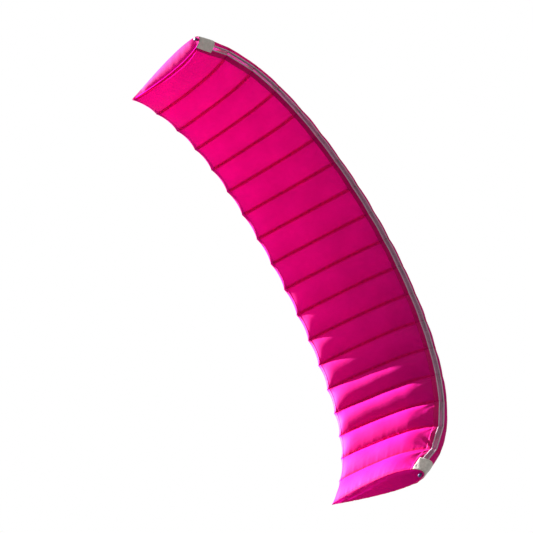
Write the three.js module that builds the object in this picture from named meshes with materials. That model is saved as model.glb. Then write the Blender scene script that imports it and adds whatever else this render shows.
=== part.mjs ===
// Ram-air power kite stiffened by a spar along its leading edge, drawn in its flying arc.
// Millimetres. +X runs along the span, +Y from the leading to the trailing edge, +Z up.
// The origin is the centre of the spar at the middle rib.
import * as THREE from 'three';

// Span and arc. Ribs are numbered from 0 at the left tip to CELLS at the right tip.
const CELLS = 18;
const CELL_WIDTH = 170;
const ARC_LINEAR = 0.966; // bank angle of a rib, radians, per unit of u
const ARC_CUBIC = 0.393; // and per unit of u cubed, so that the tips curl down more

// Planform: distances grow with u squared and, close to the tips, with u to the sixth.
const SPAR_BACK = 18; // nose to spar centre
const SPAR_SWEEP = 385;
const SPAR_TIP_SWEEP = 80;
const TAIL_BACK = 618; // spar to trailing edge at the middle rib
const TAIL_SWEEP = 200;
const TAIL_TIP_SWEEP = 70;
const PITCH = 0.048; // the trailing edge hangs this fraction of the chord below the spar
const FAN_LINEAR = 0.14; // the ribs lean inboard towards the trailing edge
const FAN_CUBIC = 0.316;

// Rib section, as fractions of its chord.
const UPPER_HEIGHT = 0.095;
const LOWER_HEIGHT = 0.065;
const TIP_DROOP = 0.03; // the tips' sections sit this much lower between nose and tail
const LIP = 0.02; // the upper skin wraps the nose as far as here
const INTAKE_END = 0.056; // the mesh runs from the lip to here

// Holes that let air pass from cell to cell.
const PORTS = [0.2, 0.37, 0.55]; // places along the chord
const PORT_SHARE = 0.27; // radius, as a fraction of the local height
const HOLE_SIDES = 12;

// Cloth and its clearances.
const SKIN = 2;
const MESH = 1.6;
const RIB = 1.5;
const TAIL_HALF = 2.5; // half the height of the trailing edge
const GAP = 0.5;
const PATCH = 1.2;
const PATCH_GAP = 1.2; // clears the flat facets of the skin under it
const PATCH_CELLS = 0.46; // how far the patch reaches in from the tip rib
const PATCH_LOWER_END = 0.085;
const PATCH_UPPER_END = 0.05;

// Spar and its fittings.
const SPAR_RADIUS = 5;
const SPAR_BORE = 4;
const SPAR_HOLE = 8;
const SPAR_OVERHANG = 10;
const TIP_HOLE = 11; // the spar's end cap passes through the tip rib
const FERRULE_RADIUS = 7;
const FERRULE_LENGTH = 60;
const FERRULE_CELL = 3.5; // cells out from the middle rib
const CAP_RADIUS = 7.5;
const CAP_START = -4; // measured outward from the tip rib
const CAP_LENGTH = 18;
const CAP_CHAMFER = 1.5;

// The wing bends at these ribs, counted out from the middle one; 9 is the tip.
const BENDS = [2, 4, 6, 9];
const SECTION_NAMES = ['centre', 'inner', 'middle', 'outer'];
const CLOSING = THREE.MathUtils.degToRad(3.2); // room left for the arc to tighten
const AXIS_CLEARANCE = 1.5; // height of a bend's axis over the upper skin

const MIDDLE = CELLS / 2;
const SIDES = [['left', -1], ['right', 1]];

const material = (color, roughness, metalness = 0) =>
  new THREE.MeshStandardMaterial({ color, roughness, metalness });
const upperCloth = material(0xd4105f, 0.62);
const lowerCloth = material(0xc00c5c, 0.62);
const meshCloth = material(0xa08a9c, 0.85);
const ribCloth = material(0x9c0c48, 0.7);
const patchCloth = material(0xc4bbae, 0.8);
const carbon = material(0x202226, 0.35, 0.1);
const capRubber = material(0x14183c, 0.55);
const ferruleMetal = material(0xa8acb2, 0.3, 0.9);

// ---- The ribs' planes ----

function bank(u) {
  return ARC_LINEAR * u + ARC_CUBIC * u ** 3;
}

// Where the spar crosses each rib, seen from the front: a chain of cells of one width.
function arcPoint(rib) {
  const point = new THREE.Vector2();
  const side = Math.sign(rib - MIDDLE);
  for (let cell = 0; cell < Math.abs(rib - MIDDLE); cell += 1) {
    const angle = bank((cell + 0.5) / MIDDLE);
    point.x += side * CELL_WIDTH * Math.cos(angle);
    point.y -= CELL_WIDTH * Math.sin(angle);
  }
  return point;
}

function ribPlane(rib) {
  const u = (rib - MIDDLE) / MIDDLE;
  const angle = bank(u);
  const outboard = new THREE.Vector3(Math.cos(angle), 0, -Math.sin(angle));
  const normal = new THREE.Vector3(Math.sin(angle), 0, Math.cos(angle));
  const { x, y: z } = arcPoint(rib);
  const spar = new THREE.Vector3(x, SPAR_SWEEP * u ** 2 + SPAR_TIP_SWEEP * u ** 6, z);
  const tail = new THREE.Vector3(x, TAIL_BACK + TAIL_SWEEP * u ** 2 + TAIL_TIP_SWEEP * u ** 6, z);
  const depth = tail.y - spar.y;
  tail.addScaledVector(outboard, -(FAN_LINEAR * u + FAN_CUBIC * u ** 3) * depth);
  tail.addScaledVector(normal, -PITCH * depth);
  const along = tail.clone().sub(spar).normalize();
  const up = normal.addScaledVector(along, -normal.dot(along)).normalize();
  const across = new THREE.Vector3().crossVectors(along, up);
  const chord = tail.distanceTo(spar) + SPAR_BACK;
  const droop = TIP_DROOP * u ** 4;
  return { spar, along, up, across, chord, upper: UPPER_HEIGHT - droop, lower: LOWER_HEIGHT + droop };
}

const planes = Array.from({ length: CELLS + 1 }, (_, rib) => ribPlane(rib));

// ---- The rib section ----

// Half height of a round-nosed, sharp-tailed section, 1 at its thickest.
function fullness(q) {
  return 10 * (0.2969 * Math.sqrt(q) - 0.126 * q - 0.3516 * q ** 2 + 0.2843 * q ** 3 - 0.1036 * q ** 4);
}

// A turn of 0 is the nose, PI the upper side's tail and -PI the lower side's.
const turnAt = (q) => Math.acos(1 - 2 * q);

function sectionPoint({ chord, upper, lower }, turn) {
  const q = (1 - Math.cos(turn)) / 2;
  const height = turn < 0 ? -lower : upper;
  return new THREE.Vector2(
    q * chord - SPAR_BACK,
    height * chord * fullness(q) + Math.sign(turn) * TAIL_HALF * q,
  );
}

// The same, moved in from the outside of the cloth by inset.
function insetPoint(plane, turn, inset) {
  const step = 0.01;
  const before = sectionPoint(plane, Math.max(turn - step, -Math.PI));
  const after = sectionPoint(plane, Math.min(turn + step, Math.PI));
  const tangent = after.sub(before).normalize();
  return sectionPoint(plane, turn).add(new THREE.Vector2(tangent.y, -tangent.x).multiplyScalar(inset));
}

function onRib(rib, point) {
  const { spar, along, up } = planes[rib];
  return spar.clone().addScaledVector(along, point.x).addScaledVector(up, point.y);
}

// The rib on the left of a place along the span, or the last that has a cell on its right.
const leftRib = (place) => THREE.MathUtils.clamp(Math.floor(place), 0, CELLS - 1);

// A point of the cloth at any place along the span, which is straight from rib to rib.
function onCloth(place, turn, inset) {
  const rib = leftRib(place);
  const near = onRib(rib, insetPoint(planes[rib], turn, inset));
  const far = onRib(rib + 1, insetPoint(planes[rib + 1], turn, inset));
  return near.lerp(far, place - rib);
}

function onSpar(place) {
  const rib = leftRib(place);
  return planes[rib].spar.clone().lerp(planes[rib + 1].spar, place - rib);
}

// ---- Solids ----

// A closed wall between two grids of points. A wrapped grid's rows are rings.
function wall(outer, inner, wrapped) {
  const rows = outer.length;
  const columns = outer[0].length;
  const points = [...outer.flat(), ...inner.flat()];
  const index = [];
  const at = (layer, row, column) => layer * rows * columns + row * columns + (column % columns);
  const quad = (a, b, c, d) => index.push(a, b, c, a, c, d);
  const spans = wrapped ? columns : columns - 1;
  for (let row = 0; row < rows - 1; row += 1) {
    for (let column = 0; column < spans; column += 1) {
      const next = column + 1;
      quad(at(0, row, column), at(0, row, next), at(0, row + 1, next), at(0, row + 1, column));
      quad(at(1, row, column), at(1, row + 1, column), at(1, row + 1, next), at(1, row, next));
    }
    if (!wrapped) {
      const last = columns - 1;
      quad(at(0, row, 0), at(0, row + 1, 0), at(1, row + 1, 0), at(1, row, 0));
      quad(at(0, row, last), at(1, row, last), at(1, row + 1, last), at(0, row + 1, last));
    }
  }
  for (let column = 0; column < spans; column += 1) {
    const next = column + 1;
    const end = rows - 1;
    quad(at(0, 0, column), at(1, 0, column), at(1, 0, next), at(0, 0, next));
    quad(at(0, end, column), at(0, end, next), at(1, end, next), at(1, end, column));
  }
  return closedGeometry(points, index);
}

function closedGeometry(points, index) {
  let volume = 0;
  for (let i = 0; i < index.length; i += 3) {
    const [a, b, c] = [points[index[i]], points[index[i + 1]], points[index[i + 2]]];
    volume += a.dot(new THREE.Vector3().crossVectors(b, c));
  }
  const geometry = new THREE.BufferGeometry().setFromPoints(points);
  geometry.setIndex(volume < 0 ? index.reverse() : index);
  return geometry;
}

const kite = new THREE.Group();

function add(name, geometry, look) {
  const mesh = new THREE.Mesh(geometry, look);
  mesh.name = name;
  kite.add(mesh);
  return mesh;
}

// ---- Cloth ----

// The height of a bend's axis, which lies over the upper skin along its rib.
function axisHeight(rib) {
  return planes[rib].upper * planes[rib].chord + TAIL_HALF / 2 + AXIS_CLEARANCE;
}

// A panel stops short of the bend on its inboard side by a wedge, narrowest at the axis.
function wedge(rib, turn) {
  const height = sectionPoint(planes[rib], turn).y;
  return RIB / 2 + GAP + (axisHeight(rib) - height) * Math.tan(CLOSING);
}

// The places along the span of one row of a section's grid, from its inboard end out.
function spanPlaces(section, side, turn) {
  if (section === 0) {
    const reach = BENDS[0] + RIB / 2 / CELL_WIDTH;
    const inside = Array.from({ length: 2 * BENDS[0] - 1 }, (_, i) => MIDDLE - BENDS[0] + 1 + i);
    return [MIDDLE - reach, ...inside, MIDDLE + reach];
  }
  const from = BENDS[section - 1];
  const to = BENDS[section];
  const start = from + wedge(MIDDLE + side * from, turn) / CELL_WIDTH;
  const inside = Array.from({ length: to - from - 1 }, (_, i) => from + 1 + i);
  const places = [start, ...inside, to + RIB / 2 / CELL_WIDTH];
  return places.map((cells) => MIDDLE + side * cells);
}

function turnsBetween(from, to, steps) {
  return Array.from({ length: steps + 1 }, (_, i) => THREE.MathUtils.lerp(from, to, i / steps));
}

function panel(section, side, turns, outside, inside) {
  const grid = (inset) => turns.map((turn) =>
    spanPlaces(section, side, turn).map((place) => onCloth(place, turn, inset)));
  return wall(grid(outside), grid(inside), false);
}

const upperTurns = turnsBetween(-turnAt(LIP), Math.PI, 15);
const lowerTurns = turnsBetween(-Math.PI, -turnAt(INTAKE_END), 11);
const edge = 0.0009; // clearance between the mesh and the skins, along the chord
const intakeTurns = turnsBetween(-turnAt(INTAKE_END - edge), -turnAt(LIP + edge), 2);

// Ribs and patches turn where the cloth's facets do, so their gap to it is even.
const clothTurns = [...lowerTurns.slice(1), intakeTurns[1], ...upperTurns.slice(0, -1)];

function addCloth(section, side, name) {
  add(`upper_skin_${name}`, panel(section, side, upperTurns, 0, SKIN), upperCloth);
  add(`lower_skin_${name}`, panel(section, side, lowerTurns, 0, SKIN), lowerCloth);
  add(`intake_mesh_${name}`, panel(section, side, intakeTurns, 0, MESH), meshCloth);
}

// ---- Ribs ----

function circle(x, y, radius) {
  const points = Array.from({ length: HOLE_SIDES }, (_, i) => {
    const angle = (-2 * Math.PI * i) / HOLE_SIDES;
    return new THREE.Vector2(x + radius * Math.cos(angle), y + radius * Math.sin(angle));
  });
  return new THREE.Path(points);
}

function ribShape(rib) {
  const plane = planes[rib];
  const outline = clothTurns.map((turn) => insetPoint(plane, turn, SKIN + GAP)).reverse();
  const shape = new THREE.Shape(outline);
  const isTip = rib === 0 || rib === CELLS;
  shape.holes.push(circle(0, 0, isTip ? TIP_HOLE : SPAR_HOLE));
  if (!isTip) {
    PORTS.forEach((q) => {
      const top = sectionPoint(plane, turnAt(q));
      const bottom = sectionPoint(plane, -turnAt(q));
      shape.holes.push(circle(top.x, (top.y + bottom.y) / 2, PORT_SHARE * (top.y - bottom.y)));
    });
  }
  return shape;
}

function addRib(rib) {
  const geometry = new THREE.ExtrudeGeometry(ribShape(rib), {
    depth: RIB,
    bevelEnabled: false,
  });
  geometry.translate(0, 0, -RIB / 2);
  const tips = { 0: 'tip_rib_left', [CELLS]: 'tip_rib_right' };
  const mesh = add(tips[rib] ?? `rib_${String(rib).padStart(2, '0')}`, geometry, ribCloth);
  const { spar, along, up, across } = planes[rib];
  mesh.applyMatrix4(new THREE.Matrix4().makeBasis(along, up, across).setPosition(spar));
}

// ---- Spar ----

// A ring round the spar's line at a point, square to the line's direction there.
function ring(centre, direction, radius) {
  const side = new THREE.Vector3(0, 0, 1).cross(direction).normalize();
  const top = new THREE.Vector3().crossVectors(direction, side);
  const count = 10;
  return Array.from({ length: count }, (_, i) => {
    const angle = (2 * Math.PI * i) / count;
    return centre.clone()
      .addScaledVector(side, radius * Math.cos(angle))
      .addScaledVector(top, radius * Math.sin(angle));
  });
}

function sparTube(points) {
  const rings = (radius) => points.map((point, i) => {
    const before = points[Math.max(i - 1, 0)];
    const after = points[Math.min(i + 1, points.length - 1)];
    return ring(point, after.clone().sub(before).normalize(), radius);
  });
  return wall(rings(SPAR_RADIUS), rings(SPAR_BORE), true);
}

function sparDirection(side) {
  const tip = MIDDLE + side * MIDDLE;
  return planes[tip].spar.clone().sub(planes[tip - side].spar).normalize();
}

function addSpar(section, side, name) {
  const points = spanPlaces(section, side, 0).map(onSpar);
  if (BENDS[section] === MIDDLE) {
    const tip = planes[MIDDLE + side * MIDDLE].spar.clone();
    points[points.length - 1] = tip.addScaledVector(sparDirection(side), SPAR_OVERHANG);
  }
  add(`spar_${name}`, sparTube(points), carbon);
}

function latheOf(profile, sides) {
  return new THREE.LatheGeometry(profile.map(([x, y]) => new THREE.Vector2(x, y)), sides);
}

function placeAlong(mesh, start, direction) {
  mesh.position.copy(start);
  mesh.quaternion.setFromUnitVectors(new THREE.Vector3(0, 1, 0), direction);
}

// A collar over the joint between two of the spar's three tubes.
function addFerrule(name, side) {
  const inside = SPAR_RADIUS + GAP;
  const half = FERRULE_LENGTH / 2;
  const profile = [
    [inside, -half], [FERRULE_RADIUS, -half], [FERRULE_RADIUS, half], [inside, half], [inside, -half],
  ];
  const geometry = latheOf(profile, 12);
  const place = MIDDLE + side * FERRULE_CELL;
  const direction = onSpar(Math.ceil(place)).sub(onSpar(Math.floor(place))).normalize();
  placeAlong(add(`ferrule_${name}`, geometry, ferruleMetal), onSpar(place), direction);
}

function addEndCap(name, side) {
  const bore = SPAR_RADIUS + GAP / 2;
  const depth = SPAR_OVERHANG - CAP_START + GAP;
  const profile = [
    [0, depth], [bore, depth], [bore, 0], [CAP_RADIUS, 0],
    [CAP_RADIUS, CAP_LENGTH - CAP_CHAMFER], [CAP_RADIUS - CAP_CHAMFER, CAP_LENGTH], [0, CAP_LENGTH],
  ];
  const geometry = latheOf(profile, 16);
  const direction = sparDirection(side);
  const start = planes[MIDDLE + side * MIDDLE].spar.clone().addScaledVector(direction, CAP_START);
  placeAlong(add(`end_cap_${name}`, geometry, capRubber), start, direction);
}

// A doubled patch round the nose at the tip, where the spar comes out of the wing.
function addPatch(name, side) {
  const [first, last] = [-turnAt(PATCH_LOWER_END), turnAt(PATCH_UPPER_END)];
  const turns = [first, ...clothTurns.filter((turn) => turn > first && turn < last), last];
  const places = [MIDDLE - PATCH_CELLS, MIDDLE + RIB / 2 / CELL_WIDTH].map((cells) => MIDDLE + side * cells);
  const grid = (inset) => turns.map((turn) => places.map((place) => onCloth(place, turn, inset)));
  add(`tip_patch_${name}`, wall(grid(-PATCH_GAP - PATCH), grid(-PATCH_GAP), false), patchCloth);
}

// ---- The kite ----

addCloth(0, 0, 'centre');
addSpar(0, 0, 'centre');
SIDES.forEach(([name, side]) => {
  for (let section = 1; section < BENDS.length; section += 1) {
    addCloth(section, side, `${SECTION_NAMES[section]}_${name}`);
    addSpar(section, side, `${SECTION_NAMES[section]}_${name}`);
  }
  addFerrule(name, side);
  addEndCap(name, side);
  addPatch(name, side);
});
planes.forEach((_, rib) => addRib(rib));

export default kite;
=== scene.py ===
"""The looks of the ram-air power kite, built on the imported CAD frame.

Metres, in the frame's own axes: +X along the span, +Y from the leading to the trailing edge, +Z up.
A place is a distance along the span counted in cells: 0 at the left tip rib, CELLS at the right one.
A turn goes round a rib's section: 0 at the nose, PI at the upper side's tail, -PI at the lower side's.
"""
import math

import bpy
import numpy as np
from mathutils import Matrix, Vector
from mathutils.geometry import delaunay_2d_cdt


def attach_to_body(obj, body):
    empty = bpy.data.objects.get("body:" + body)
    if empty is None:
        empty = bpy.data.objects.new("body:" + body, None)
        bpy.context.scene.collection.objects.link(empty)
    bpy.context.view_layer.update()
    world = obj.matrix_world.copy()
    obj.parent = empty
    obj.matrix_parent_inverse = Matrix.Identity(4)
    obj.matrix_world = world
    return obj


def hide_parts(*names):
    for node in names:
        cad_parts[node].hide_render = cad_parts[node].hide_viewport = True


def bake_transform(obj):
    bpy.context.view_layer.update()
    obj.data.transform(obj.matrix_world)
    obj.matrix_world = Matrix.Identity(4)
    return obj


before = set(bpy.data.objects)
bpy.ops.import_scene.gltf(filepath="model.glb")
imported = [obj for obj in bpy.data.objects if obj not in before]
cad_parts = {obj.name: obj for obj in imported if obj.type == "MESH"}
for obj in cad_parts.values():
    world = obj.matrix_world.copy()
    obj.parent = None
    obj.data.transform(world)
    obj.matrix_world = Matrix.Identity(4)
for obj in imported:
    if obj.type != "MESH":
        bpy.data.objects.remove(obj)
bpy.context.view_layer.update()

# The wing's driving dimensions, as in the CAD source.
CELLS = 18
MIDDLE = CELLS // 2
CELL_WIDTH = 0.170
ARC_LINEAR, ARC_CUBIC = 0.966, 0.393
SPAR_BACK, SPAR_SWEEP, SPAR_TIP_SWEEP = 0.018, 0.385, 0.080
TAIL_BACK, TAIL_SWEEP, TAIL_TIP_SWEEP = 0.618, 0.200, 0.070
PITCH = 0.048
FAN_LINEAR, FAN_CUBIC = 0.14, 0.316
UPPER_HEIGHT, LOWER_HEIGHT = 0.095, 0.065
TAIL_HALF = 0.0008
TIP_DROOP = 0.03
LIP, INTAKE_END = 0.02, 0.056
PORTS = [0.2, 0.37, 0.55]
PORT_SHARE = 0.27
PATCH_CELLS = 0.46
PATCH_LOWER_END, PATCH_UPPER_END = 0.085, 0.05
SPAR_RADIUS = 0.005
SPAR_HOLE, TIP_HOLE = 0.008, 0.0085
SPAR_OVERHANG = 0.010
FERRULE_RADIUS, FERRULE_LENGTH, FERRULE_CELL = 0.007, 0.060, 3.5
CAP_RADIUS, CAP_START, CAP_LENGTH = 0.0075, -0.004, 0.018
FITTING_GAP = 0.0002  # round the spar, inside its ferrules and caps

# The wing's sections, from the left tip to the right one, meet at the hinge ribs.
SECTIONS = ["outer_left", "middle_left", "inner_left", "centre",
            "inner_right", "middle_right", "outer_right"]
HINGE_RIBS = [3, 5, 7, 11, 13, 15]
BEND_REACH = 0.72  # cells on each side of a hinge rib over which the cloth turns

# Air pressure rounds each cell out between its ribs.
LOWER_PILLOW, UPPER_PILLOW = 0.034, 0.026
PILLOW_ROUNDNESS = 0.85  # under 1, the pillow rises more steeply from its seams
NOSE_PILLOW = 0.15  # share of the pillow that is left at the leading edge
LOWER_NOSE_RISE, UPPER_NOSE_RISE = 0.34, 0.16  # share of the chord over which it grows from there
TAIL_PILLOW = 0.72  # share of it that is left in front of the trailing edge
TAIL_RISE = 0.04  # share of the chord over which the pillow rises from the trailing edge
TAIL_RECESS = 0.011  # how far the trailing edge is drawn in between two ribs
RECESS_ROUNDNESS = 0.8
PUCKER = 0.0011  # height of the small folds along the seams
PUCKER_WIDTH, PUCKER_START = 0.020, 0.004  # distances over which they fade out, and start, beside a seam
PUCKER_LENGTHS = [0.046, 0.027, 0.0171, 0.0113]
NOSE_FOLD = 0.0035  # height of the folds that run out from the seams' front ends
NOSE_FOLD_REACH, NOSE_FOLD_SPREAD = 0.055, 0.02
NOSE_FOLD_RATE = 11  # phase of the folds for each radian round the seam's front end
SWELL = 0.0012  # height of the slow unevenness over a whole panel

# Sewn details.
SEAM_WIDTH = 0.020
HEM_WIDTH = 0.014
BINDING_WIDTH = 0.005
NOSE_BAND = 0.024  # the lower skin is doubled this far behind the net by a darker band, whose colour is painted shade where the skin curves up to the nose
TAPE_LIFT = 0.0006
TAPE_THICKNESS = 0.0005
PORT_TAPE = 0.008
NET_PITCH, NET_THREAD = 0.0036, 0.0017
NET_MARGIN, NET_LIP = 0.004, 0.002  # the net runs under the skins' edges by these shares of the chord
NET_DEPTH, NET_WEAVE = 0.0012, 0.0003  # how far it lies inside the cloth's surface, and its threads' sway
RIPSTOP, RIPSTOP_THREAD = 0.005, 0.0007
STITCH, STITCH_ROW = 0.004, 0.0052
PATCH_LIFT, PATCH_THICKNESS = 0.0016, 0.0009

# Ribs are sheets that lie just inside the skins.
RIB_INSET = 0.0012
RIB_MARGIN, HOLE_MARGIN = 0.006, 0.004  # their inner points keep this far from the edge and the holes
RIB_GRID = 0.016
RIB_GRID_LOW, RIB_GRID_HIGH = -0.06, 0.08  # taller than any rib
RIB_EDGE_STEPS, HOLE_SIDES, PORT_TAPE_STEPS = 150, 32, 40
TIP_BULGE, RIB_RIPPLE = 0.006, 0.0006
EDGE_SOFTNESS = 0.003  # keeps the bulge's edge from rising too steeply
FLAT_ROUND_SPAR, FULL_FROM_SPAR = 0.010, 0.035  # flat this far round the spar, and fully bulged from there

CHORD_STEPS, SPAN_STEPS, SPAR_STEPS = 96, 26, 16


# ---- The wing's shape ----

def bank(u):
    return ARC_LINEAR * u + ARC_CUBIC * u ** 3


def arc_point(rib):
    """Where the spar crosses a rib, seen from the front: a chain of cells of one width."""
    x = z = 0.0
    side = np.sign(rib - MIDDLE)
    for cell in range(abs(rib - MIDDLE)):
        angle = bank((cell + 0.5) / MIDDLE)
        x += side * CELL_WIDTH * math.cos(angle)
        z -= CELL_WIDTH * math.sin(angle)
    return x, z


def rib_plane(rib):
    """A rib's spar point, its axes along the chord, up and across, and its chord, as one row."""
    u = (rib - MIDDLE) / MIDDLE
    angle = bank(u)
    outboard = Vector((math.cos(angle), 0, -math.sin(angle)))
    normal = Vector((math.sin(angle), 0, math.cos(angle)))
    x, z = arc_point(rib)
    spar = Vector((x, SPAR_SWEEP * u ** 2 + SPAR_TIP_SWEEP * u ** 6, z))
    tail = Vector((x, TAIL_BACK + TAIL_SWEEP * u ** 2 + TAIL_TIP_SWEEP * u ** 6, z))
    depth = tail.y - spar.y
    tail -= outboard * ((FAN_LINEAR * u + FAN_CUBIC * u ** 3) * depth)
    tail -= normal * (PITCH * depth)
    along = (tail - spar).normalized()
    up = (normal - along * normal.dot(along)).normalized()
    return [*spar, *along, *up, *along.cross(up), (tail - spar).length + SPAR_BACK]


PLANES = np.array([rib_plane(rib) for rib in range(CELLS + 1)])
SPAR, ALONG, UP, ACROSS = (PLANES[:, 3 * i:3 * i + 3] for i in range(4))
CHORD = PLANES[:, 12]


def fullness(q):
    """Half height of a round-nosed, sharp-tailed section, 1 at its thickest."""
    return 10 * (0.2969 * np.sqrt(q) - 0.126 * q - 0.3516 * q ** 2 + 0.2843 * q ** 3 - 0.1036 * q ** 4)


def turn_at(q):
    return np.arccos(1 - 2 * np.asarray(q, float))


def chord_share(turn):
    return (1 - np.cos(turn)) / 2


def heights(rib):
    """The section's height over and under its chord line, as shares of the chord."""
    droop = TIP_DROOP * ((rib - MIDDLE) / MIDDLE) ** 4
    return UPPER_HEIGHT - droop, LOWER_HEIGHT + droop


def section_point(rib, turn):
    """A point of the rib's outline: distance behind the spar, and height over it."""
    q = chord_share(turn)
    upper, lower = heights(rib)
    height = np.where(turn < 0, -lower, upper)
    x = q * CHORD[rib] - SPAR_BACK
    return np.stack([x, height * CHORD[rib] * fullness(q) + np.sign(turn) * TAIL_HALF * q], -1)


def section_normal(rib, turn):
    """The outward direction of the section's outline."""
    step = 0.004
    before = section_point(rib, np.maximum(turn - step, -math.pi))
    after = section_point(rib, np.minimum(turn + step, math.pi))
    tangent = after - before
    tangent /= np.linalg.norm(tangent, axis=-1, keepdims=True)
    return np.stack([-tangent[..., 1], tangent[..., 0]], -1)


def smooth(low, high, x):
    """Rises gently from 0 at low to 1 at high."""
    t = np.clip((x - low) / (high - low), 0, 1)
    return t * t * (3 - 2 * t)


def arch(t):
    """0 at both ribs and 1 midway."""
    return np.clip(4 * t * (1 - t), 0, 1)


def left_rib(place):
    """The rib on the left of a place, or the last that has a cell on its right."""
    return np.clip(np.floor(place), 0, CELLS - 1).astype(int)


def pillow(place, turn):
    """How far the cloth stands out from the straight line between two ribs."""
    t = place - left_rib(place)
    q = chord_share(turn)
    width = arch(t) ** PILLOW_ROUNDNESS
    nose_rise = np.where(turn < 0, LOWER_NOSE_RISE, UPPER_NOSE_RISE)
    nose = NOSE_PILLOW + (1 - NOSE_PILLOW) * smooth(0, nose_rise, q)
    tail = 1 - np.exp(-(1 - q) / TAIL_RISE)
    taper = TAIL_PILLOW + (1 - TAIL_PILLOW) * (1 - q)
    return np.where(turn < 0, LOWER_PILLOW, UPPER_PILLOW) * width * nose * tail * taper


def wave(x, seed):
    """A smooth, uneven wave of about unit height along x, with its own pattern for each seed."""
    total = 0.0
    for order, length in enumerate(PUCKER_LENGTHS):
        phase = 1.7 * seed + 2.3 * order + 3 * np.sin(12.9 * seed + 4.1 * order)
        total = total + np.sin(2 * math.pi * x / length + phase) / (1.3 + 0.35 * order)
    return total / 1.9


def folds(place, turn):
    """Small folds: puckers along both seams of a cell, and longer ones at its front corners."""
    rib = left_rib(place)
    t = place - rib
    q = chord_share(turn)
    side = np.where(turn < 0, 0, 40)
    run = q * CHORD[rib]
    total = 0.0
    for edge, distance in ((0, t), (1, 1 - t)):
        across = distance * CELL_WIDTH
        seed = rib * 2.0 + edge + side
        fade = np.exp(-across / PUCKER_WIDTH) * (1 - np.exp(-across / PUCKER_START))
        total = total + PUCKER * fade * wave(run + 0.25 * across, seed)
        behind = (q - INTAKE_END) * CHORD[rib]
        reach = NOSE_FOLD_REACH + NOSE_FOLD_SPREAD * np.sin(2.1 * seed)
        corner = np.exp(-np.hypot(across, behind) / reach) * smooth(0, 0.02, across)
        angle = np.arctan2(np.maximum(behind, 0), across + 1e-6)
        fan = np.sin(NOSE_FOLD_RATE * angle + 1.3 * seed)
        total = total + NOSE_FOLD * corner * fan * smooth(0, 0.03, behind)
    swell = np.sin(2 * math.pi * (0.83 * place + 1.7 * q)) * np.sin(2 * math.pi * (0.41 * place - 2.3 * q))
    total = total + SWELL * swell * arch(t)
    return total * smooth(1.0, 0.97, q)


def cloth_point(place, turn, lift=0.0):
    """Points of the inflated cloth, lift metres outside it."""
    place, turn = np.broadcast_arrays(np.asarray(place, float), np.asarray(turn, float))
    rib = left_rib(place)
    t = (place - rib)[..., None]
    ends = []
    for r in (rib, rib + 1):
        section = section_point(r, turn)
        normal = section_normal(r, turn)
        point = SPAR[r] + ALONG[r] * section[..., :1] + UP[r] * section[..., 1:]
        ends.append((point, ALONG[r] * normal[..., :1] + UP[r] * normal[..., 1:], ALONG[r]))
    (near, near_out, near_along), (far, far_out, far_along) = ends
    point = near + (far - near) * t
    outward = near_out + (far_out - near_out) * t
    outward /= np.linalg.norm(outward, axis=-1, keepdims=True)
    height = pillow(place, turn) + folds(place, turn) + lift
    q = chord_share(turn)
    drawn = TAIL_RECESS * arch(t) ** RECESS_ROUNDNESS * smooth(0.8, 1.0, q)[..., None]
    back = near_along + (far_along - near_along) * t
    return point + outward * height[..., None] - back * drawn


def even_turns(start, end, steps, rib=MIDDLE):
    """Turns from start to end that are evenly far apart along a rib's outline, and its length."""
    turns = np.linspace(start, end, 1500)
    points = section_point(rib, turns)
    lengths = np.concatenate([[0], np.cumsum(np.linalg.norm(np.diff(points, axis=0), axis=1))])
    return np.interp(np.linspace(0, lengths[-1], steps + 1), lengths, turns), lengths[-1]


def spar_point(place):
    rib = int(left_rib(place))
    return Vector(SPAR[rib] + (SPAR[rib + 1] - SPAR[rib]) * (place - rib))


# ---- Pieces ----

def section_at(place):
    """The number of the section that holds a place."""
    return sum(place > rib for rib in HINGE_RIBS)


def attach(piece, low, high):
    """Ties a piece that spans the places low to high to its section; a piece that crosses a hinge is tied
    to no body, its place baked into its points.
    Returns the names of the sections."""
    for number, rib in enumerate(HINGE_RIBS):
        if low < rib + BEND_REACH and high > rib - BEND_REACH:
            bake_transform(piece)
            return SECTIONS[number:number + 2]
    section = SECTIONS[section_at((low + high) / 2)]
    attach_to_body(piece, section)
    return [section]


def mesh_object(name, points, faces, look, uvs=None):
    """A named piece. uvs holds a pair of distances in metres for each point."""
    mesh = bpy.data.meshes.new(name)
    mesh.from_pydata([tuple(p) for p in points], [], faces)
    if uvs is not None:
        layer = mesh.uv_layers.new(name="Metres")
        corners = np.empty(len(mesh.loops), np.int32)
        mesh.loops.foreach_get("vertex_index", corners)
        layer.data.foreach_set("uv", np.asarray(uvs, np.float32)[corners].ravel())
    mesh.materials.append(look)
    mesh.shade_smooth()
    mesh.validate()
    piece = bpy.data.objects.new(name, mesh)
    bpy.context.scene.collection.objects.link(piece)
    return piece


def grid_object(name, grid, uvs, look, thickness=0.0):
    """A sheet from a grid of points, solid if it has a thickness."""
    rows, columns = grid.shape[:2]
    index = np.arange(rows * columns).reshape(rows, columns)
    quads = np.stack([index[:-1, :-1], index[:-1, 1:], index[1:, 1:], index[1:, :-1]], -1).reshape(-1, 4)
    piece = mesh_object(name, grid.reshape(-1, 3), quads.tolist(), look, uvs.reshape(-1, 2))
    if thickness:
        solid = piece.modifiers.new("thickness", "SOLIDIFY")
        solid.thickness = thickness
        solid.offset = 0.0
    return piece


def cloth_grid(places, turns, lift=0.0):
    return cloth_point(places[None, :], turns[:, None], lift)


def distances(grid):
    """The distance along the middle column of a grid, for each row."""
    middle = grid[:, grid.shape[1] // 2]
    return np.concatenate([[0], np.cumsum(np.linalg.norm(np.diff(middle, axis=0), axis=1))])


def metre_uvs(places, rows):
    """Distances across and along a panel. rows holds the distance along for each row."""
    u = np.broadcast_to(places[None, :] * CELL_WIDTH, (len(rows), len(places)))
    v = np.broadcast_to(rows[:, None], u.shape)
    return np.stack([u, v], -1)


# ---- Materials ----

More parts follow.
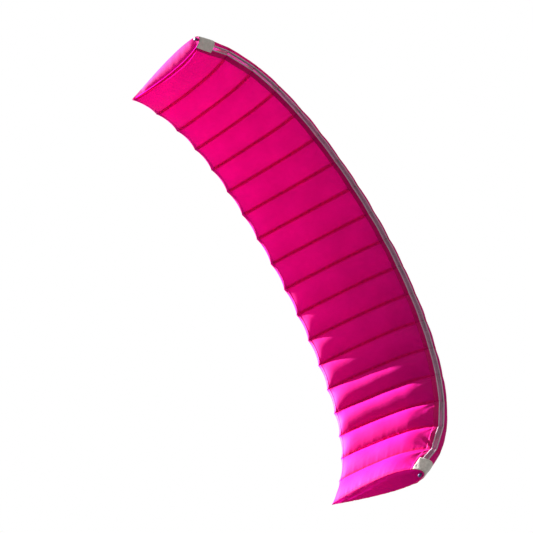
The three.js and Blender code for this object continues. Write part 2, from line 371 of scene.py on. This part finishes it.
def node(tree, kind, inputs=(), **settings):
    """Adds a shader node. Each input is a value, or the socket that feeds it."""
    made = tree.nodes.new(kind)
    for key, value in settings.items():
        setattr(made, key, value)
    for key, value in dict(inputs).items():
        if isinstance(value, bpy.types.NodeSocket):
            tree.links.new(value, made.inputs[key])
        else:
            made.inputs[key].default_value = value
    return made


def maths(tree, operation, first, second=0.0, third=0.0):
    """The result of a sum on up to three values or sockets."""
    made = node(tree, "ShaderNodeMath", {0: first, 1: second, 2: third}, operation=operation)
    return made.outputs[0]


def ramp(tree, value, low, high, start=0.0, end=1.0):
    """Goes smoothly from start to end as the value goes from low to high."""
    made = node(tree, "ShaderNodeMapRange", {0: value, 1: low, 2: high, 3: start, 4: end})
    made.interpolation_type = "SMOOTHSTEP"
    return made.outputs[0]


def colour_mix(tree, share, first, second, blend="MIX"):
    made = node(tree, "ShaderNodeMix", data_type="RGBA", blend_type=blend)
    for socket, value in ((made.inputs[0], share), (made.inputs[6], first), (made.inputs[7], second)):
        if isinstance(value, bpy.types.NodeSocket):
            tree.links.new(value, socket)
        else:
            socket.default_value = value
    return made.outputs[2]


def noise(tree, vector, scale, detail=3.0, roughness=0.5):
    inputs = {"Vector": vector, "Scale": scale, "Detail": detail, "Roughness": roughness}
    return node(tree, "ShaderNodeTexNoise", inputs).outputs["Fac"]


def new_material(name):
    material = bpy.data.materials.new(name)
    material.use_nodes = True
    material.node_tree.nodes.clear()
    return material, material.node_tree


def metres(tree):
    """The cloth's own distances: across, along, and both as a vector."""
    vector = node(tree, "ShaderNodeUVMap", uv_map="Metres").outputs[0]
    parts = node(tree, "ShaderNodeSeparateXYZ", {0: vector})
    return parts.outputs[0], parts.outputs[1], vector


def line_mask(tree, distance, pitch, width):
    """1 on lines of that width, pitch apart."""
    away = maths(tree, "PINGPONG", distance, pitch / 2)
    return ramp(tree, away, width * 0.35, width * 0.65, 1.0, 0.0)


DYED_GLOSS = (1.0, 0.06, 1.0, 1.0)  # a strongly dyed cloth also tints what it mirrors
PLAIN_GLOSS = (1.0, 1.0, 1.0, 1.0)
GLOW_TINT = (1.0, 1.0, 1.45, 1.0)  # light that comes through the dye is a little bluer
CLOTH_ROUGHNESS = 0.62


def rgba(colour):
    return (*colour, 1.0)


def shade(colour, factor):
    return tuple(min(c * factor, 1.0) for c in colour)


def finish_cloth(tree, colour, roughness, normal, see_through, tint):
    """Cloth that reflects from its face and lets some light through it."""
    surface = node(tree, "ShaderNodeBsdfPrincipled", {"Base Color": colour, "Roughness": roughness})
    surface.inputs["Specular IOR Level"].default_value = 0.11
    surface.inputs["Specular Tint"].default_value = tint
    surface.inputs["Sheen Weight"].default_value = 0.05
    surface.inputs["Sheen Roughness"].default_value = 0.4
    surface.inputs["Sheen Tint"].default_value = tint
    tree.links.new(normal, surface.inputs["Normal"])
    shown = surface.outputs[0]
    if see_through:
        glow = colour_mix(tree, 1.0, colour, GLOW_TINT, "MULTIPLY")
        through = node(tree, "ShaderNodeBsdfTranslucent", {"Color": glow, "Normal": normal})
        inputs = {0: see_through, 1: shown, 2: through.outputs[0]}
        shown = node(tree, "ShaderNodeMixShader", inputs).outputs[0]
    node(tree, "ShaderNodeOutputMaterial", {0: shown})


def ripstop(name, colour, see_through):
    """Thin nylon with a grid of thicker threads, soft creases and uneven dye."""
    material, tree = new_material(name)
    across, along, vector = metres(tree)
    grid = maths(tree, "MAXIMUM", line_mask(tree, across, RIPSTOP, RIPSTOP_THREAD),
                 line_mask(tree, along, RIPSTOP, RIPSTOP_THREAD))
    dye = ramp(tree, noise(tree, vector, scale=7.0), 0.3, 0.7)
    wear = ramp(tree, noise(tree, vector, scale=38.0, detail=4.0, roughness=0.6), 0.35, 0.75)
    base = colour_mix(tree, dye, rgba(shade(colour, 0.93)), rgba(shade(colour, 1.06)))
    base = colour_mix(tree, maths(tree, "MULTIPLY", wear, 0.25), base, rgba(shade(colour, 0.8)))
    base = colour_mix(tree, maths(tree, "MULTIPLY", grid, 0.3), base, rgba(shade(colour, 0.72)))
    creases = noise(tree, vector, scale=26.0, detail=5.0, roughness=0.55)
    weave = noise(tree, vector, scale=900.0, detail=2.0)
    height = maths(tree, "MULTIPLY_ADD", grid, 0.00006, maths(tree, "MULTIPLY", creases, 0.0016))
    height = maths(tree, "MULTIPLY_ADD", weave, 0.00005, height)
    normal = node(tree, "ShaderNodeBump", {"Strength": 0.5, "Distance": 1.0, "Height": height}).outputs[0]
    rough = maths(tree, "MULTIPLY_ADD", creases, 0.16, CLOTH_ROUGHNESS - 0.08)
    finish_cloth(tree, base, rough, normal, see_through, DYED_GLOSS)
    return material


def sewn_tape(name, colour, thread, see_through=0.0, rows=STITCH_ROW, gloss=DYED_GLOSS,
              roughness=CLOTH_ROUGHNESS):
    """Woven tape with a row of stitches on each side of its middle, rows metres away from it."""
    material, tree = new_material(name)
    across, along, vector = metres(tree)
    from_row = maths(tree, "ABSOLUTE", maths(tree, "SUBTRACT", maths(tree, "ABSOLUTE", across), rows))
    row = ramp(tree, from_row, 0.0003, 0.0006, 1.0, 0.0)
    from_stitch = maths(tree, "PINGPONG", along, STITCH / 2)
    dash = ramp(tree, from_stitch, STITCH * 0.32, STITCH * 0.4, 1.0, 0.0)
    stitches = maths(tree, "MULTIPLY", row, dash)
    pull = ramp(tree, from_row, 0.0, 0.0022, 0.0, 1.0)
    weft = line_mask(tree, along, 0.0011, 0.0006)
    uneven = ramp(tree, noise(tree, vector, scale=60.0, detail=4.0), 0.3, 0.75)
    base = colour_mix(tree, uneven, rgba(shade(colour, 0.84)), rgba(shade(colour, 1.08)))
    base = colour_mix(tree, maths(tree, "MULTIPLY", weft, 0.2), base, rgba(shade(colour, 0.75)))
    base = colour_mix(tree, stitches, base, rgba(thread))
    height = maths(tree, "MULTIPLY", stitches, 0.0006)
    height = maths(tree, "MULTIPLY_ADD", pull, 0.0005, height)
    height = maths(tree, "MULTIPLY_ADD", weft, 0.00012, height)
    normal = node(tree, "ShaderNodeBump", {"Strength": 0.6, "Distance": 1.0, "Height": height}).outputs[0]
    rough = maths(tree, "MULTIPLY_ADD", uneven, 0.12, roughness - 0.06)
    finish_cloth(tree, base, rough, normal, see_through, gloss)
    return material


def net_thread(name, colour):
    """Dull synthetic thread, twisted, with dusty patches."""
    material, tree = new_material(name)
    across, along, vector = metres(tree)
    twist = line_mask(tree, maths(tree, "ADD", across, along), 0.0016, 0.0009)
    dust = ramp(tree, noise(tree, vector, scale=25.0, detail=4.0), 0.35, 0.7)
    base = colour_mix(tree, dust, rgba(shade(colour, 0.82)), rgba(shade(colour, 1.12)))
    base = colour_mix(tree, maths(tree, "MULTIPLY", twist, 0.3), base, rgba(shade(colour, 0.6)))
    normal = node(tree, "ShaderNodeBump", {"Strength": 0.5, "Distance": 0.0003, "Height": twist}).outputs[0]
    rough = maths(tree, "MULTIPLY_ADD", dust, 0.15, 0.7)
    finish_cloth(tree, base, rough, normal, 0.0, PLAIN_GLOSS)
    return material


def solid_surface(name, colour, metallic, scale, stretch, roughness, relief, coat=0.0):
    """A hard or rubbery solid with fine grain, which stretch compresses along each axis."""
    material, tree = new_material(name)
    place = node(tree, "ShaderNodeTexCoord").outputs["Object"]
    moved = node(tree, "ShaderNodeMapping", {"Vector": place, "Scale": stretch}).outputs[0]
    grain = noise(tree, moved, scale, detail=4.0, roughness=0.6)
    spots = ramp(tree, noise(tree, place, scale * 0.2), 0.35, 0.7)
    tone = ramp(tree, grain, 0.3, 0.7)
    base = colour_mix(tree, tone, rgba(shade(colour, 0.7)), rgba(shade(colour, 1.25)))
    base = colour_mix(tree, maths(tree, "MULTIPLY", spots, 0.3), base, rgba(shade(colour, 1.6)))
    normal = node(tree, "ShaderNodeBump", {"Strength": 0.4, "Distance": relief, "Height": grain}).outputs[0]
    rough = maths(tree, "MULTIPLY_ADD", grain, 0.2, roughness - 0.1)
    inputs = {"Base Color": base, "Roughness": rough, "Normal": normal}
    surface = node(tree, "ShaderNodeBsdfPrincipled", inputs)
    surface.inputs["Metallic"].default_value = metallic
    surface.inputs["Coat Weight"].default_value = coat
    node(tree, "ShaderNodeOutputMaterial", {0: surface.outputs[0]})
    return material


MAGENTA = (0.62, 0.003, 0.20)
LIGHT_THROUGH = 0.44
lower_cloth = ripstop("lower_skin_nylon", MAGENTA, LIGHT_THROUGH)
upper_cloth = ripstop("upper_skin_nylon", shade(MAGENTA, 0.97), LIGHT_THROUGH)
tip_cloth = ripstop("tip_rib_nylon", shade(MAGENTA, 0.9), 0.3)
rib_cloth = ripstop("rib_nylon", shade(MAGENTA, 0.8), 0.3)
seam_cloth = sewn_tape("seam_tape", (0.80, 0.003, 0.19), (0.80, 0.01, 0.19), 0.56)
# The nose band's darker colour is painted shade: the lower skin behind the net lies in shade where it
# curves up towards the nose.
painted_shade_band = sewn_tape("nose_band_cloth", (0.48, 0.003, 0.10), (0.58, 0.02, 0.15), 0.12, rows=0.0095)
hem_cloth = sewn_tape("tail_hem_tape", (0.84, 0.005, 0.26), (0.80, 0.02, 0.26), 0.10, rows=0.0045)
port_cloth = sewn_tape("port_ring_tape", shade(MAGENTA, 0.6), (0.45, 0.02, 0.1), rows=0.002)
binding_cloth = sewn_tape("intake_binding_tape", (0.50, 0.38, 0.46), (0.28, 0.20, 0.25),
                          rows=0.0018, gloss=PLAIN_GLOSS)
patch_cloth = sewn_tape("tip_patch_cloth", (0.50, 0.46, 0.42), (0.22, 0.20, 0.19),
                        rows=0.033, gloss=PLAIN_GLOSS, roughness=0.7)
net_look = net_thread("intake_net_thread", (0.46, 0.29, 0.39))
carbon = solid_surface("spar_carbon", (0.018, 0.019, 0.022), metallic=0.0, scale=900,
                       stretch=(1, 1, 6), roughness=0.36, relief=0.0002, coat=0.5)
metal = solid_surface("ferrule_metal", (0.46, 0.47, 0.49), metallic=1.0, scale=700,
                      stretch=(8, 1, 1), roughness=0.34, relief=0.0002)
rubber = solid_surface("end_cap_rubber", (0.020, 0.024, 0.095), metallic=0.0, scale=1200,
                       stretch=(1, 1, 1), roughness=0.6, relief=0.0003)


# ---- Skins ----

def skin_panel(side, cell, start, end, look):
    """One cell's panel of the upper or lower skin, as a single sheet of cloth."""
    turns, length = even_turns(start, end, CHORD_STEPS, cell)
    even = np.linspace(0, 1, SPAN_STEPS + 1)
    places = cell + (even + (1 - np.cos(math.pi * even)) / 2) / 2  # closer together near the seams
    grid = cloth_grid(places, turns)
    piece = grid_object(f"{side}_panel_{cell:02d}", grid, metre_uvs(places, distances(grid)), look)
    sections = attach(piece, cell, cell + 1)
    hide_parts(*[f"{side}_skin_{name}" for name in sections])


def rib_name(rib):
    ends = {0: "tip_rib_left", CELLS: "tip_rib_right"}
    return ends.get(rib, f"rib_{rib:02d}") + "_cloth"


def skins():
    for cell in range(CELLS):
        skin_panel("lower", cell, -math.pi, float(-turn_at(INTAKE_END)), lower_cloth)
        skin_panel("upper", cell, float(-turn_at(LIP)), math.pi, upper_cloth)


# ---- Tapes ----


def tape(name, places, turns, along_span, look,
         lift=TAPE_LIFT, thickness=TAPE_THICKNESS):
    """A tape on the cloth, along the span or along the chord. Its stitches follow its long side."""
    grid = cloth_grid(places, turns, lift)
    run = distances(grid)
    span = places * CELL_WIDTH
    across, along = (run[:, None], span[None, :]) if along_span else (span[None, :], run[:, None])
    across = across - (across.max() + across.min()) / 2
    uvs = np.stack(np.broadcast_arrays(across, along), -1)
    piece = grid_object(name, grid, uvs, look, thickness)
    attach(piece, round(float(places[0])), round(float(places[-1])))


def seam_tapes():
    """A doubled band of cloth over each rib, on both skins, where the panels are sewn together."""
    half = SEAM_WIDTH / 2 / CELL_WIDTH
    sides = {"lower": (-math.pi, float(-turn_at(INTAKE_END))), "upper": (float(-turn_at(LIP)), math.pi)}
    for rib in range(CELLS + 1):
        places = np.linspace(max(rib - half, 0), min(rib + half, CELLS), 9)
        for side, (start, end) in sides.items():
            turns, _ = even_turns(start, end, CHORD_STEPS, rib)
            tape(f"{side}_seam_{rib:02d}", places, turns, False, seam_cloth,
                 thickness=0.0)


def edge_turns(q_start, q_end, steps, sign):
    """Turns from one share of the chord to another, on the upper side if sign is 1."""
    return sign * turn_at(np.linspace(q_start, q_end, steps + 1))


def tail_hems():
    """A folded hem along the trailing edge of each cell, round both skins."""
    for cell in range(CELLS):
        share = HEM_WIDTH / CHORD[cell]
        lower = edge_turns(1 - share, 1, 4, -1)
        upper = edge_turns(1, 1 - share, 4, 1)
        places = np.linspace(cell, cell + 1, SPAN_STEPS + 1)
        grid = np.concatenate([cloth_grid(places, lower, TAPE_LIFT), cloth_grid(places, upper, TAPE_LIFT)])
        run = distances(grid)
        u = np.broadcast_to((run - run[-1] / 2)[:, None], grid.shape[:2])
        v = np.broadcast_to((places * CELL_WIDTH)[None, :], grid.shape[:2])
        piece = grid_object(f"tail_hem_{cell:02d}", grid, np.stack([u, v], -1), hem_cloth,
                            TAPE_THICKNESS)
        attach(piece, cell, cell + 1)


# ---- Intake ----

def ribbon_faces(count, first):
    """Faces of a four-sided thread with count rings, whose points start at first."""
    faces = []
    for ring in range(count - 1):
        for corner in range(4):
            a = first + 4 * ring + corner
            b = first + 4 * ring + (corner + 1) % 4
            faces.append((a, b, b + 4, a + 4))
    end = first + 4 * (count - 1)
    faces.append((first + 3, first + 2, first + 1, first))
    faces.append((end, end + 1, end + 2, end + 3))
    return faces


def thread(line, outward):
    """Points of a four-sided thread round a line, each ring a square on its corner, a little flattened."""
    direction = np.gradient(line, axis=0)
    direction /= np.linalg.norm(direction, axis=1, keepdims=True)
    side = np.cross(direction, outward)
    side *= NET_THREAD / 2 / np.linalg.norm(side, axis=1, keepdims=True)
    out = outward * (0.7 * NET_THREAD / 2)
    return np.stack([line + side, line + out, line - side, line - out], 1).reshape(-1, 3)


def net_panel(cell):
    """The open net across one cell's intake, made of crossing threads."""
    start, end = float(-turn_at(INTAKE_END + NET_MARGIN)), float(-turn_at(LIP - NET_LIP))
    _, width = even_turns(start, end, 10, cell)
    across = max(int(round(width / NET_PITCH)), 4)
    along = int(round(CELL_WIDTH / NET_PITCH))
    turns, _ = even_turns(start, end, across)
    places = np.linspace(cell, cell + 1, along + 1)
    points, faces, uvs = [], [], []

    def add_thread(place_line, turn_line, over):
        inner = cloth_point(place_line, turn_line, over - NET_DEPTH)
        outward = cloth_point(place_line, turn_line, over) - inner
        outward /= np.linalg.norm(outward, axis=-1, keepdims=True)
        faces.extend(ribbon_faces(len(inner), len(uvs)))
        points.extend(thread(inner, outward))
        run = np.repeat(np.arange(len(inner)) * NET_PITCH, 4)
        uvs.extend(np.stack([np.tile(np.arange(4) * NET_THREAD, len(inner)), run], -1))

    for turn in turns:
        add_thread(places[::2], np.full(len(places[::2]), turn), NET_WEAVE)
    for place in places[:-1] + 0.5 / along:
        add_thread(np.full(len(turns), place), turns, -NET_WEAVE)
    piece = mesh_object(f"intake_net_{cell:02d}", points, faces, net_look, uvs)
    sections = attach(piece, cell, cell + 1)
    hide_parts(*[f"intake_mesh_{name}" for name in sections])


def intake():
    for cell in range(CELLS):
        net_panel(cell)
        places = np.linspace(cell, cell + 1, SPAN_STEPS + 1)
        # A darker band of cloth behind the net, painted shade where the lower skin curves up to the nose.
        band = edge_turns_behind(-turn_at(INTAKE_END), NOSE_BAND, cell)
        tape(f"nose_band_{cell:02d}", places, band, True, painted_shade_band)
        for edge, q in (("upper", LIP), ("lower", INTAKE_END)):
            turns = edge_turns_around(-turn_at(q), BINDING_WIDTH, cell)
            tape(f"intake_binding_{edge}_{cell:02d}", places, turns, True, binding_cloth,
                 lift=2 * TAPE_LIFT)


def outline_speed(turn, rib):
    """Distance along the outline for each radian of turn."""
    step = 0.002
    return np.linalg.norm(section_point(rib, turn + step) - section_point(rib, turn - step)) / (2 * step)


def edge_turns_behind(turn, width, rib):
    """Seven turns over a band of the lower skin of that width that starts at turn."""
    return turn - np.linspace(1.0, 0.0, 7) * width / outline_speed(turn, rib)


def edge_turns_around(turn, width, rib):
    """Five turns over a band of that width whose middle is at turn."""
    speed = outline_speed(turn, rib)
    return turn + np.linspace(-0.5, 0.5, 5) * width / speed


# ---- Ribs ----

def circle(x, y, radius):
    angles = np.linspace(0, 2 * math.pi, HOLE_SIDES, endpoint=False)
    return np.stack([x + radius * np.cos(angles), y + radius * np.sin(angles)], -1)


def port_circles(rib):
    """The centre and radius of each hole that lets air pass between two cells."""
    for q in PORTS:
        top = section_point(rib, turn_at(q))
        bottom = section_point(rib, -turn_at(q))
        yield float(top[0]), float((top[1] + bottom[1]) / 2), float(PORT_SHARE * (top[1] - bottom[1]))


def is_tip(rib):
    return rib in (0, CELLS)


def rib_holes(rib):
    if is_tip(rib):
        return [(0.0, 0.0, TIP_HOLE)]
    return [(0.0, 0.0, SPAR_HOLE), *port_circles(rib)]


def on_rib(rib, flat, out):
    """Points of a rib from their flat places on it, moved out of its plane by out."""
    return (SPAR[rib] + ALONG[rib] * flat[:, :1] + UP[rib] * flat[:, 1:2]
            + ACROSS[rib] * np.reshape(out, (-1, 1)))


def rib_heights(rib):
    """A rib's greatest height over and under its chord line, in metres."""
    return [height * CHORD[rib] for height in heights(rib)]


def rib_share(rib, flat):
    """The share of the chord at points of a rib."""
    return np.clip((flat[:, 0] + SPAR_BACK) / CHORD[rib], 0, 1)


def points_inside(rib, holes):
    """A square grid of points inside a rib, clear of its edge and its holes."""
    upper, lower = rib_heights(rib)
    xs, ys = np.meshgrid(np.arange(-SPAR_BACK, CHORD[rib], RIB_GRID),
                         np.arange(RIB_GRID_LOW, RIB_GRID_HIGH, RIB_GRID))
    inside = np.stack([xs.ravel(), ys.ravel()], -1)
    full = fullness(rib_share(rib, inside))
    keep = (inside[:, 1] > RIB_MARGIN - lower * full) & (inside[:, 1] < upper * full - RIB_MARGIN)
    for x, y, radius in holes:
        keep &= np.hypot(inside[:, 0] - x, inside[:, 1] - y) > radius + HOLE_MARGIN
    return inside[keep]


def cut_sheet(loops, inside, holes):
    """The flat points and the faces of a sheet that the first loop bounds, with its holes left open."""
    edges, first = [], 0
    for loop in loops:
        edges += [(first + i, first + (i + 1) % len(loop)) for i in range(len(loop))]
        first += len(loop)
    points = np.concatenate([*loops, inside])
    made = delaunay_2d_cdt([Vector(p) for p in points], edges, [], 1, 1e-6)
    flat = np.array([tuple(p) for p in made[0]])
    faces = []
    for face in made[2]:
        centre = flat[list(face)].mean(0)
        if all(math.hypot(centre[0] - x, centre[1] - y) > radius for x, y, radius in holes):
            faces.append(tuple(face))
    return flat, faces


def rib_relief(rib, flat):
    """How far a rib's cloth stands out of its plane: a tip rib bulges outwards, and all ripple."""
    upper, lower = rib_heights(rib)
    full = fullness(rib_share(rib, flat))
    middle = (upper - lower) / 2 * full
    half_height = (upper + lower) / 2 * full + EDGE_SOFTNESS
    rounding = np.clip(1 - ((flat[:, 1] - middle) / half_height) ** 2, 0, 1)
    side = {0: -1, CELLS: 1}.get(rib, 0)
    ripple = RIB_RIPPLE * wave(flat[:, 0] + 0.4 * flat[:, 1], rib)
    from_spar = np.hypot(flat[:, 0], flat[:, 1])
    return (side * TIP_BULGE + ripple) * rounding * smooth(FLAT_ROUND_SPAR, FULL_FROM_SPAR, from_spar)


def rib_piece(rib):
    """A rib cut from cloth: a flat sheet with holes for the spar and the air."""
    turns, _ = even_turns(-math.pi, math.pi, RIB_EDGE_STEPS)
    outline = section_point(rib, turns[:-1]) - RIB_INSET * section_normal(rib, turns[:-1])
    holes = rib_holes(rib)
    loops = [outline] + [circle(*hole) for hole in holes]
    flat, faces = cut_sheet(loops, points_inside(rib, holes), holes)
    piece = mesh_object(rib_name(rib), on_rib(rib, flat, rib_relief(rib, flat)), faces,
                        tip_cloth if is_tip(rib) else rib_cloth, flat)
    attach(piece, rib, rib)
    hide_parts(rib_name(rib).removesuffix("_cloth"))


def port_rings(rib):
    """A tape round each hole, so that the cloth doesn't tear there."""
    for number, (x, y, radius) in enumerate(port_circles(rib)):
        angles = np.linspace(0, 2 * math.pi, PORT_TAPE_STEPS + 1)
        radii = radius + np.linspace(0.0, PORT_TAPE, 4)
        flat = np.stack([x + radii[:, None] * np.cos(angles), y + radii[:, None] * np.sin(angles)], -1)
        grid = on_rib(rib, flat.reshape(-1, 2), 2 * TAPE_LIFT).reshape(*flat.shape[:2], 3)
        u = np.broadcast_to((radii - radii.mean())[:, None], flat.shape[:2])
        v = np.broadcast_to(angles[None, :] * radius, flat.shape[:2])
        piece = grid_object(f"port_ring_{rib:02d}_{number}", grid, np.stack([u, v], -1), port_cloth,
                            TAPE_THICKNESS)
        attach(piece, rib, rib)


def ribs():
    for rib in range(CELLS + 1):
        rib_piece(rib)
        if not is_tip(rib):
            port_rings(rib)


# ---- Spar, ferrules and end caps ----

def tube_object(name, line, profile, look, sides=24):
    """A round solid along a line of points. profile gives a radius for each point."""
    points, faces = [], []
    for number, centre in enumerate(line):
        before = line[max(number - 1, 0)]
        after = line[min(number + 1, len(line) - 1)]
        direction = (after - before).normalized()
        side = Vector((0, 0, 1)).cross(direction).normalized()
        top = direction.cross(side)
        for corner in range(sides):
            angle = 2 * math.pi * corner / sides
            points.append(centre + (side * math.cos(angle) + top * math.sin(angle)) * profile[number])
    for ring in range(len(line) - 1):
        for corner in range(sides):
            a = ring * sides + corner
            b = ring * sides + (corner + 1) % sides
            faces.append((a, b, b + sides, a + sides))
    faces.append(tuple(reversed(range(sides))))
    faces.append(tuple(range((len(line) - 1) * sides, len(line) * sides)))
    piece = mesh_object(name, points, faces, look)
    for face in list(piece.data.polygons)[-2:]:
        face.use_smooth = False
    return piece


def tip_direction(side):
    tip = MIDDLE + side * MIDDLE
    return Vector(SPAR[tip] - SPAR[tip - side]).normalized()


def spar():
    """The spar in stretches of two cells that each stay in one section or cross one hinge."""
    for low in range(0, CELLS, 2):
        high = low + 2
        line = [spar_point(place) for place in np.linspace(low, high, SPAR_STEPS + 1)]
        if low == 0:
            line[0] = line[0] + tip_direction(-1) * SPAR_OVERHANG
        if high == CELLS:
            line[-1] = line[-1] + tip_direction(1) * SPAR_OVERHANG
        piece = tube_object(f"spar_tube_{low:02d}_{high:02d}", line, [SPAR_RADIUS] * len(line), carbon)
        sections = attach(piece, low, high)
        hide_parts(*[f"spar_{name}" for name in sections])


def lathe_line(start, direction, profile):
    """The points and the radii of a turned solid, from pairs of a distance and a radius."""
    return [start + direction * distance for distance, _ in profile], [radius for _, radius in profile]


def ferrule(name, side):
    """The collar over the joint of two tubes, with a rolled lip at each end and a groove at its middle."""
    place = MIDDLE + side * FERRULE_CELL
    direction = (spar_point(math.ceil(place)) - spar_point(math.floor(place))).normalized()
    half = FERRULE_LENGTH / 2
    lip, lip_length, slope = 0.0006, 0.004, 0.001
    groove, groove_width = 0.0008, 0.0012
    waist = FERRULE_RADIUS - lip
    profile = [(-half, SPAR_RADIUS + FITTING_GAP), (-half, waist), (-half + lip, FERRULE_RADIUS)]
    profile += [(-half + lip_length, FERRULE_RADIUS), (-half + lip_length + slope, waist)]
    profile += [(-groove_width, waist), (-groove_width / 2, waist - groove)]
    profile += [(-distance, radius) for distance, radius in reversed(profile)]
    line, radii = lathe_line(spar_point(place), direction, profile)
    piece = tube_object(f"ferrule_{name}_collar", line, radii, metal, 32)
    attach(piece, math.floor(place), math.ceil(place))
    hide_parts(f"ferrule_{name}")


def end_cap(name, side):
    """A moulded rubber cap with three grip grooves and a rounded end."""
    direction = tip_direction(side)
    start = Vector(SPAR[MIDDLE + side * MIDDLE]) + direction * CAP_START
    chamfer, groove, bottom, rounding = 0.0008, 0.0009, 0.0004, 0.003
    first_groove, groove_pitch = 0.0045, 0.0035
    profile = [(0.0, SPAR_RADIUS + FITTING_GAP), (0.0, CAP_RADIUS - chamfer), (chamfer, CAP_RADIUS)]
    for number in range(3):
        centre = first_groove + groove_pitch * number
        profile += [(centre - groove, CAP_RADIUS), (centre - bottom, CAP_RADIUS - groove)]
        profile += [(centre + bottom, CAP_RADIUS - groove), (centre + groove, CAP_RADIUS)]
    for angle in np.linspace(0, math.pi / 2, 7):
        profile.append((CAP_LENGTH - rounding * (1 - math.sin(angle)),
                        CAP_RADIUS - rounding * (1 - math.cos(angle))))
    line, radii = lathe_line(start, direction, profile)
    piece = tube_object(f"end_cap_{name}_moulding", line, radii, rubber, 32)
    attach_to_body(piece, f"end_cap_{name}")
    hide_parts(f"end_cap_{name}")


def tip_patch(name, side):
    """A doubled patch round the nose at the tip."""
    tip = MIDDLE + side * MIDDLE
    turns, length = even_turns(float(-turn_at(PATCH_LOWER_END)), float(turn_at(PATCH_UPPER_END)), 40, tip)
    places = tip - side * np.linspace(PATCH_CELLS, 0, 18)
    grid = cloth_grid(places, turns, PATCH_LIFT)
    run = distances(grid)
    u = np.broadcast_to((places - places.mean())[None, :] * CELL_WIDTH, grid.shape[:2])
    v = np.broadcast_to(run[:, None], grid.shape[:2])
    piece = grid_object(f"tip_patch_{name}_cloth", grid, np.stack([u, v], -1), patch_cloth,
                        PATCH_THICKNESS)
    attach(piece, *sorted((tip, tip - side * PATCH_CELLS)))
    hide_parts(f"tip_patch_{name}")


# ---- Floor, light and camera ----

FLOOR_Z, FLOOR_SIZE = -8.8, 80
SUN_FROM = (-0.67, 0.67, 0.32)
SUN_STRENGTH, SUN_DEGREES = 45.0, 1.5
CAMERA_AT = (1.193, 0.7855, -6.115)
CAMERA_FORWARD = (-0.2169, -0.0224, 0.9759)
CAMERA_RIGHT = (0.4400, -0.8947, 0.0773)
CAMERA_LENS = 77.68


def pale_floor():
    material, tree = new_material("floor_paint")
    place = node(tree, "ShaderNodeTexCoord").outputs["Object"]
    speckle = noise(tree, place, scale=0.6, detail=4.0)
    tone = colour_mix(tree, speckle, (0.050, 0.050, 0.050, 1), (0.056, 0.056, 0.055, 1))
    surface = node(tree, "ShaderNodeBsdfPrincipled", {"Base Color": tone, "Roughness": 0.8})
    node(tree, "ShaderNodeOutputMaterial", {0: surface.outputs[0]})
    bpy.ops.mesh.primitive_plane_add(size=FLOOR_SIZE, location=(0, 0, FLOOR_Z))
    floor = bpy.context.object
    floor.name = "floor"
    floor.data.materials.append(material)


def lights():
    sun = bpy.data.lights.new("sun", "SUN")
    sun.energy = SUN_STRENGTH
    sun.angle = math.radians(SUN_DEGREES)
    holder = bpy.data.objects.new("sun", sun)
    holder.rotation_mode = "QUATERNION"
    holder.rotation_quaternion = Vector(SUN_FROM).to_track_quat("Z", "Y")
    bpy.context.scene.collection.objects.link(holder)
    world = bpy.data.worlds.new("pale_sky")
    world.use_nodes = True
    sky = world.node_tree.nodes["Background"]
    sky.inputs["Color"].default_value = (1.0, 1.0, 1.0, 1.0)
    sky.inputs["Strength"].default_value = 1.0
    bpy.context.scene.world = world
    bpy.context.scene.view_settings.view_transform = "Standard"


def camera():
    """Far below the kite, turned so that its span runs down the picture."""
    data = bpy.data.cameras.new("camera")
    data.sensor_width = 36.0
    data.lens = CAMERA_LENS
    data.clip_start, data.clip_end = 0.1, 200.0
    view = bpy.data.objects.new("camera", data)
    forward = Vector(CAMERA_FORWARD).normalized()
    right = Vector(CAMERA_RIGHT)
    right = (right - forward * right.dot(forward)).normalized()
    up = right.cross(forward)
    turned = Matrix((right, up, -forward)).transposed().to_4x4()
    view.matrix_world = Matrix.Translation(CAMERA_AT) @ turned
    bpy.context.scene.collection.objects.link(view)
    bpy.context.scene.camera = view


camera()
lights()
pale_floor()
skins()
seam_tapes()
tail_hems()
intake()
ribs()
spar()
for name, side in (("left", -1), ("right", 1)):
    ferrule(name, side)
    end_cap(name, side)
    tip_patch(name, side)
